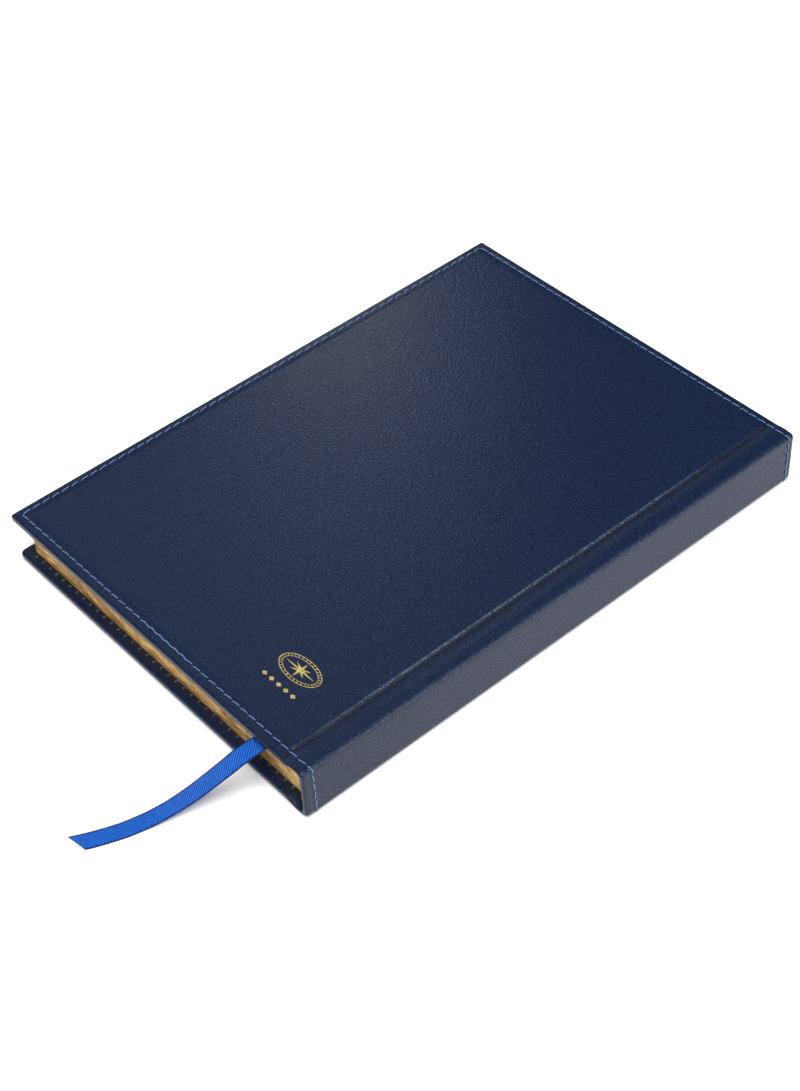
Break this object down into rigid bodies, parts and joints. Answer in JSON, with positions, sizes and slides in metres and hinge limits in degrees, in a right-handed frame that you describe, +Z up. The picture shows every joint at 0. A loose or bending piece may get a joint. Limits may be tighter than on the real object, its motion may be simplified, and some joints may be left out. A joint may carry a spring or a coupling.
{
  "type": "pilot logbook",
  "caption": "Case-bound book with padded leather covers, edge stitching, flat spine, gold page edges, hinged covers and leaves, and a ribbon marker.",
  "frame": {"origin": "centre of the closed book's footprint, on the surface that its front cover lies on, without the ribbon", "axes": "+X to the spine, +Y to the head of the book along the spine, +Z up out of the back cover"},
  "size_m": [0.172, 0.3042, 0.0234],
  "materials": {
    "cover_leather": "navy coated leather with a fine pebble grain, satin",
    "spine_leather": "the same navy coated leather, lighter where it is stretched over the spine",
    "seam_thread": "light blue twisted polyester thread",
    "foil": "gold stamping foil, satin",
    "board": "grey bookbinding board",
    "foam": "thin soft padding",
    "lining": "black lining cloth, matt",
    "endpaper": "cream endpaper",
    "gilt_edge": "cream paper with antique gold edges",
    "book_cloth": "open cotton gauze",
    "spine_kraft": "brown lining paper",
    "sewing": "white linen thread",
    "band_cloth": "blue and white striped band",
    "ribbon_satin": "royal blue twill-faced satin ribbon"
  },
  "bodies": {
    "front_cover": {"front_leather": "cover_leather", "front_padding": "foam", "front_board": "board", "front_lining": "lining", "front_joint_liner": "lining", "front_pastedown": "endpaper", "front_stitching": "seam_thread"},
    "book_block": {"spine_leather": "spine_leather", "spine_board": "board", "spine_lining": "lining", "spine_stitching": "seam_thread", "core_sections": "gilt_edge", "sewing_thread": "sewing", "spine_gauze": "book_cloth", "spine_paper": "spine_kraft", "head_band": "band_cloth", "tail_band": "band_cloth", "ribbon_inner": "ribbon_satin", "ribbon_tail": "ribbon_satin"},
    "back_cover": {"back_leather": "cover_leather", "back_padding": "foam", "back_board": "board", "back_lining": "lining", "back_joint_liner": "lining", "back_pastedown": "endpaper", "back_stitching": "seam_thread", "foil_star": "foil", "foil_bar": "foil"},
    "front_flyleaf": {"front_flyleaf": "endpaper"},
    "front_leaves_1": {"front_leaves_1": "gilt_edge"},
    "front_leaves_2": {"front_leaves_2": "gilt_edge"},
    "back_flyleaf": {"back_flyleaf": "endpaper"},
    "back_leaves_1": {"back_leaves_1": "gilt_edge"},
    "back_leaves_2": {"back_leaves_2": "gilt_edge"}
  },
  "joints": [
    {"name": "front_cover_fold", "type": "hinge", "parent": "front_cover", "child": "book_block", "pos_m": [0.0852, 0, 0.0008], "axis": [0, -1, 0], "range_deg": [-90, 0]},
    {"name": "back_cover_fold", "type": "hinge", "parent": "book_block", "child": "back_cover", "pos_m": [0.0852, 0, 0.0226], "axis": [0, 1, 0], "range_deg": [0, 178]},
    {"name": "front_flyleaf_turn", "type": "hinge", "parent": "book_block", "child": "front_flyleaf", "pos_m": [0.082, 0, 0.0039], "axis": [0, 1, 0], "range_deg": [-81.5, 0]},
    {"name": "front_leaves_1_turn", "type": "hinge", "parent": "book_block", "child": "front_leaves_1", "pos_m": [0.082, 0, 0.0039], "axis": [0, 1, 0], "range_deg": [-54.5, 0]},
    {"name": "front_leaves_2_turn", "type": "hinge", "parent": "book_block", "child": "front_leaves_2", "pos_m": [0.082, 0, 0.0039], "axis": [0, 1, 0], "range_deg": [-29.3, 0]},
    {"name": "back_flyleaf_turn", "type": "hinge", "parent": "book_block", "child": "back_flyleaf", "pos_m": [0.082, 0, 0.0195], "axis": [0, 1, 0], "range_deg": [0, 121.5]},
    {"name": "back_leaves_1_turn", "type": "hinge", "parent": "book_block", "child": "back_leaves_1", "pos_m": [0.082, 0, 0.0195], "axis": [0, 1, 0], "range_deg": [0, 82.4]},
    {"name": "back_leaves_2_turn", "type": "hinge", "parent": "book_block", "child": "back_leaves_2", "pos_m": [0.082, 0, 0.0195], "axis": [0, 1, 0], "range_deg": [0, 45]}
  ],
  "couplings": [
    {"joint": "front_flyleaf_turn", "follows": "front_cover_fold", "ratio": 0.9},
    {"joint": "front_leaves_1_turn", "follows": "front_cover_fold", "ratio": 0.6},
    {"joint": "front_leaves_2_turn", "follows": "front_cover_fold", "ratio": 0.32},
    {"joint": "back_flyleaf_turn", "follows": "back_cover_fold", "ratio": 0.68},
    {"joint": "back_leaves_1_turn", "follows": "back_cover_fold", "ratio": 0.46},
    {"joint": "back_leaves_2_turn", "follows": "back_cover_fold", "ratio": 0.25}
  ]
}
